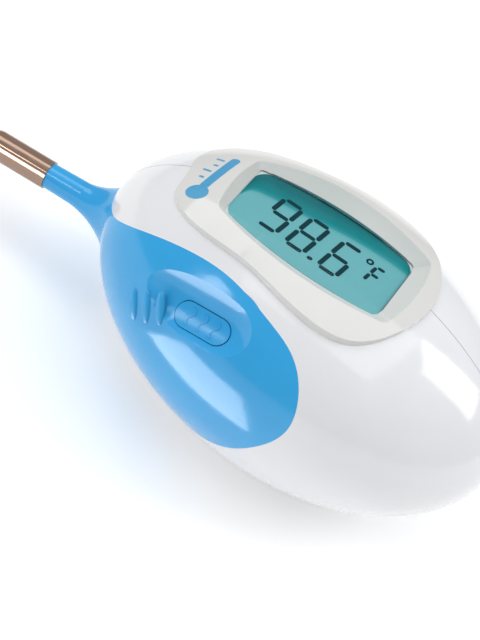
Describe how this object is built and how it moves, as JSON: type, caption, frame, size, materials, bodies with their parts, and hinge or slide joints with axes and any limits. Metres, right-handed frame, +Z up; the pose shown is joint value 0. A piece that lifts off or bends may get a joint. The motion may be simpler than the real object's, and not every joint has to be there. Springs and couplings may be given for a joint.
{
  "type": "digital thermometer",
  "caption": "Egg-shaped handheld digital thermometer with a short drooping metal probe, thumb grips, a side power button and a window over its temperature display.",
  "frame": {"origin": "bottom centre of the whole object, on the plane of the flat base", "axes": "+X from the probe tip to the blunt end, +Z up through the display, -Y out of the side with the power button"},
  "size_m": [0.0902, 0.0452, 0.0392],
  "materials": {
    "grip_blue": "satin gloss",
    "button_blue": "satin gloss",
    "case_white": "gloss",
    "door_white": "satin",
    "cover_grey": "gloss",
    "lens_clear": "polished",
    "lcd_teal": "satin",
    "guide_acrylic": "frosted",
    "lamp_resin": "moulded",
    "gasket_foam": "foam",
    "elastomer": "striped",
    "holder_plastic": "moulded",
    "board_green": "solder mask",
    "chip_epoxy": "cast",
    "buzzer_black": "moulded",
    "can_nickel": "plated",
    "chip_ceramic": "fired",
    "cup_plastic": "moulded",
    "cell_steel": "plated",
    "contact_spring": "sprung",
    "seal_rubber": "moulded",
    "switch_black": "moulded",
    "plunger_plastic": "moulded",
    "pin_metal": "tinned",
    "liner_plastic": "extruded",
    "bead_resin": "dipped",
    "wire_enamel": "enamelled",
    "filler_epoxy": "cast",
    "tip_steel": "polished",
    "screw_steel": "zinc plated"
  },
  "bodies": {
    "case": {"grip_moulding": "grip_blue", "left_case_shell": "case_white", "right_case_shell": "case_white", "display_cover": "cover_grey", "display_lens": "lens_clear", "lcd_cell": "lcd_teal", "light_guide": "guide_acrylic", "guide_lamp": "lamp_resin", "lens_gasket": "gasket_foam", "elastomer_connectors": "elastomer", "display_holder": "holder_plastic", "main_board": "board_green", "switch_board": "board_green", "controller_chip": "chip_epoxy", "buzzer": "buzzer_black", "crystal_can": "can_nickel", "chip_parts": "chip_ceramic", "battery_cup": "cup_plastic", "button_cell": "cell_steel", "battery_contact_minus": "contact_spring", "battery_contact_plus": "contact_spring", "switch_housing": "switch_black", "board_pins": "pin_metal", "neck_liner": "liner_plastic", "sensor_bead": "bead_resin", "sensor_wires": "wire_enamel", "tip_filler": "filler_epoxy", "probe_tip": "tip_steel", "case_screws": "screw_steel"},
    "button": {"power_button": "button_blue"},
    "plunger": {"switch_plunger": "plunger_plastic"},
    "door": {"battery_door": "door_white", "door_seal": "seal_rubber"}
  },
  "joints": [
    {"name": "button_press", "type": "slide", "parent": "case", "child": "button", "axis": [0.2237, 0.8323, -0.5072], "range_m": [0, 0.0005], "stiffness_N_per_m": 2000},
    {"name": "plunger_press", "type": "slide", "parent": "case", "child": "plunger", "axis": [0.2237, 0.8323, -0.5072], "range_m": [0, 0.0005]},
    {"name": "door_turn", "type": "hinge", "parent": "case", "child": "door", "pos_m": [0.01137, 0, 0], "axis": [0, 0, -1], "range_deg": [0, 60]}
  ],
  "couplings": [
    {"joint": "plunger_press", "follows": "button_press", "ratio": 1}
  ]
}
